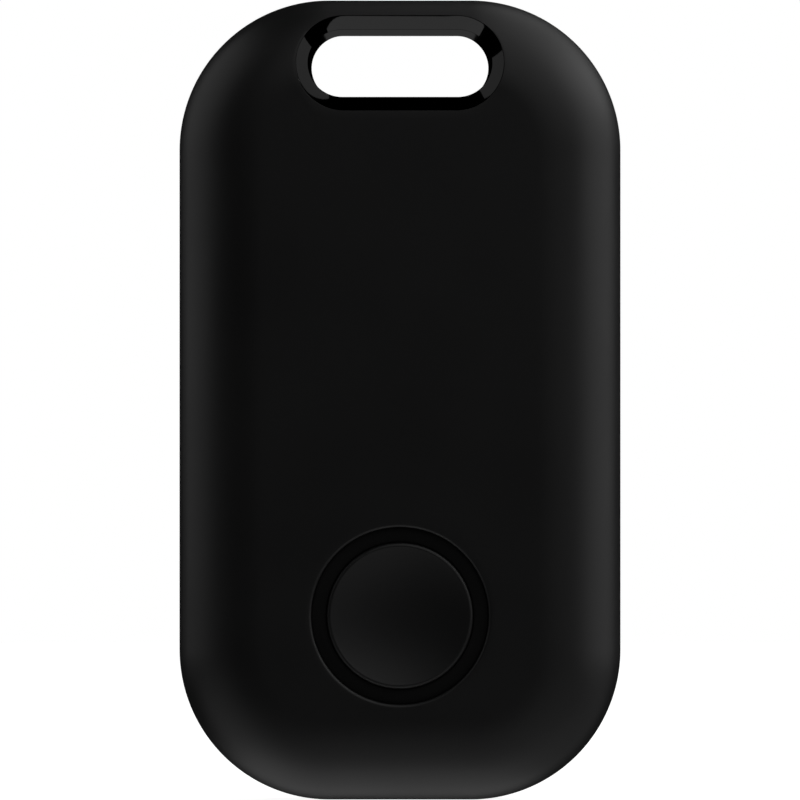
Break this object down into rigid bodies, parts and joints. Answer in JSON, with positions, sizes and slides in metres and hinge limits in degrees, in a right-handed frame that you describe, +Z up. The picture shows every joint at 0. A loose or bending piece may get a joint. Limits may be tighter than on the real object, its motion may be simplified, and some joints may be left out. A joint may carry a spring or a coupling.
{
  "type": "bluetooth tracker tag",
  "caption": "Slim tracker tag: satin black case with rolled edges, a key-ring slot with a polished chamfer, a dished push button and a snap-off back over its coin cell.",
  "frame": {"origin": "middle of the key-ring slot, half way through the thickness", "axes": "+Z up the tag towards the slot's end, -Y out of the front face with the button, +X to the right seen from the front"},
  "size_m": [0.0286, 0.008, 0.052],
  "materials": {
    "case": "satin, finely textured moulded black",
    "gloss_liner": "polished piano black",
    "button": "satin black, softer sheen than the case",
    "elastomer": "dull dark elastomer",
    "dark_resin": "moulded dark resin",
    "bright_metal": "nickel-plated sheet",
    "circuit_board": "green solder mask on glass laminate",
    "screw_steel": "zinc-plated",
    "white_ceramic": "fired, unglazed",
    "tan_ceramic": "fired, unglazed",
    "spring_bronze": "gold-flashed spring strip",
    "cell_steel": "bright drawn nickel-plated steel",
    "cell_fill": "pressed powder",
    "foam": "fine closed-cell foam",
    "buzzer_brass": "rolled brass sheet",
    "port_mesh": "fine woven wire"
  },
  "bodies": {
    "housing": {"front_shell": "case", "slot_liner": "gloss_liner", "button_seal": "elastomer", "pcb": "circuit_board", "switch_base": "dark_resin", "switch_cover": "bright_metal", "switch_dome": "bright_metal", "board_screw_1": "screw_steel", "board_screw_2": "screw_steel", "board_screw_3": "screw_steel", "board_screw_4": "screw_steel", "bluetooth_chip": "dark_resin", "main_crystal": "bright_metal", "clock_crystal": "bright_metal", "chip_antenna": "white_ceramic", "buzzer_inductor": "dark_resin", "capacitor_1": "tan_ceramic", "capacitor_2": "tan_ceramic", "capacitor_3": "tan_ceramic", "cell_negative_contact": "spring_bronze", "cell_positive_contact": "spring_bronze", "buzzer_contact_1": "spring_bronze", "buzzer_contact_2": "spring_bronze"},
    "button": {"button_cap": "button"},
    "plunger": {"switch_plunger": "dark_resin"},
    "rear_cover": {"rear_cover": "case", "cover_gasket": "elastomer", "cell_foam_pad": "foam", "buzzer_adhesive_ring": "foam", "buzzer_plate": "buzzer_brass", "buzzer_ceramic": "white_ceramic", "sound_port_mesh": "port_mesh"},
    "coin_cell": {"cell_can": "cell_steel", "cell_cap": "cell_steel", "cell_grommet": "dark_resin", "cell_cathode": "cell_fill", "cell_anode": "cell_fill"}
  },
  "joints": [
    {"name": "button_press", "type": "slide", "parent": "housing", "child": "button", "axis": [0, 1, 0], "range_m": [0, 0.00025], "stiffness_N_per_m": 4000, "deforming": ["switch_dome"]},
    {"name": "switch_plunger_press", "type": "slide", "parent": "housing", "child": "plunger", "axis": [0, 1, 0], "range_m": [0, 0.00025]},
    {"name": "rear_cover_off", "type": "slide", "parent": "housing", "child": "rear_cover", "axis": [0, 1, 0], "range_m": [0, 0.025]},
    {"name": "coin_cell_out", "type": "slide", "parent": "housing", "child": "coin_cell", "axis": [0, 1, 0], "range_m": [0, 0.0125]}
  ],
  "couplings": [
    {"joint": "switch_plunger_press", "follows": "button_press", "ratio": 1},
    {"joint": "coin_cell_out", "follows": "rear_cover_off", "ratio": 0.5}
  ]
}
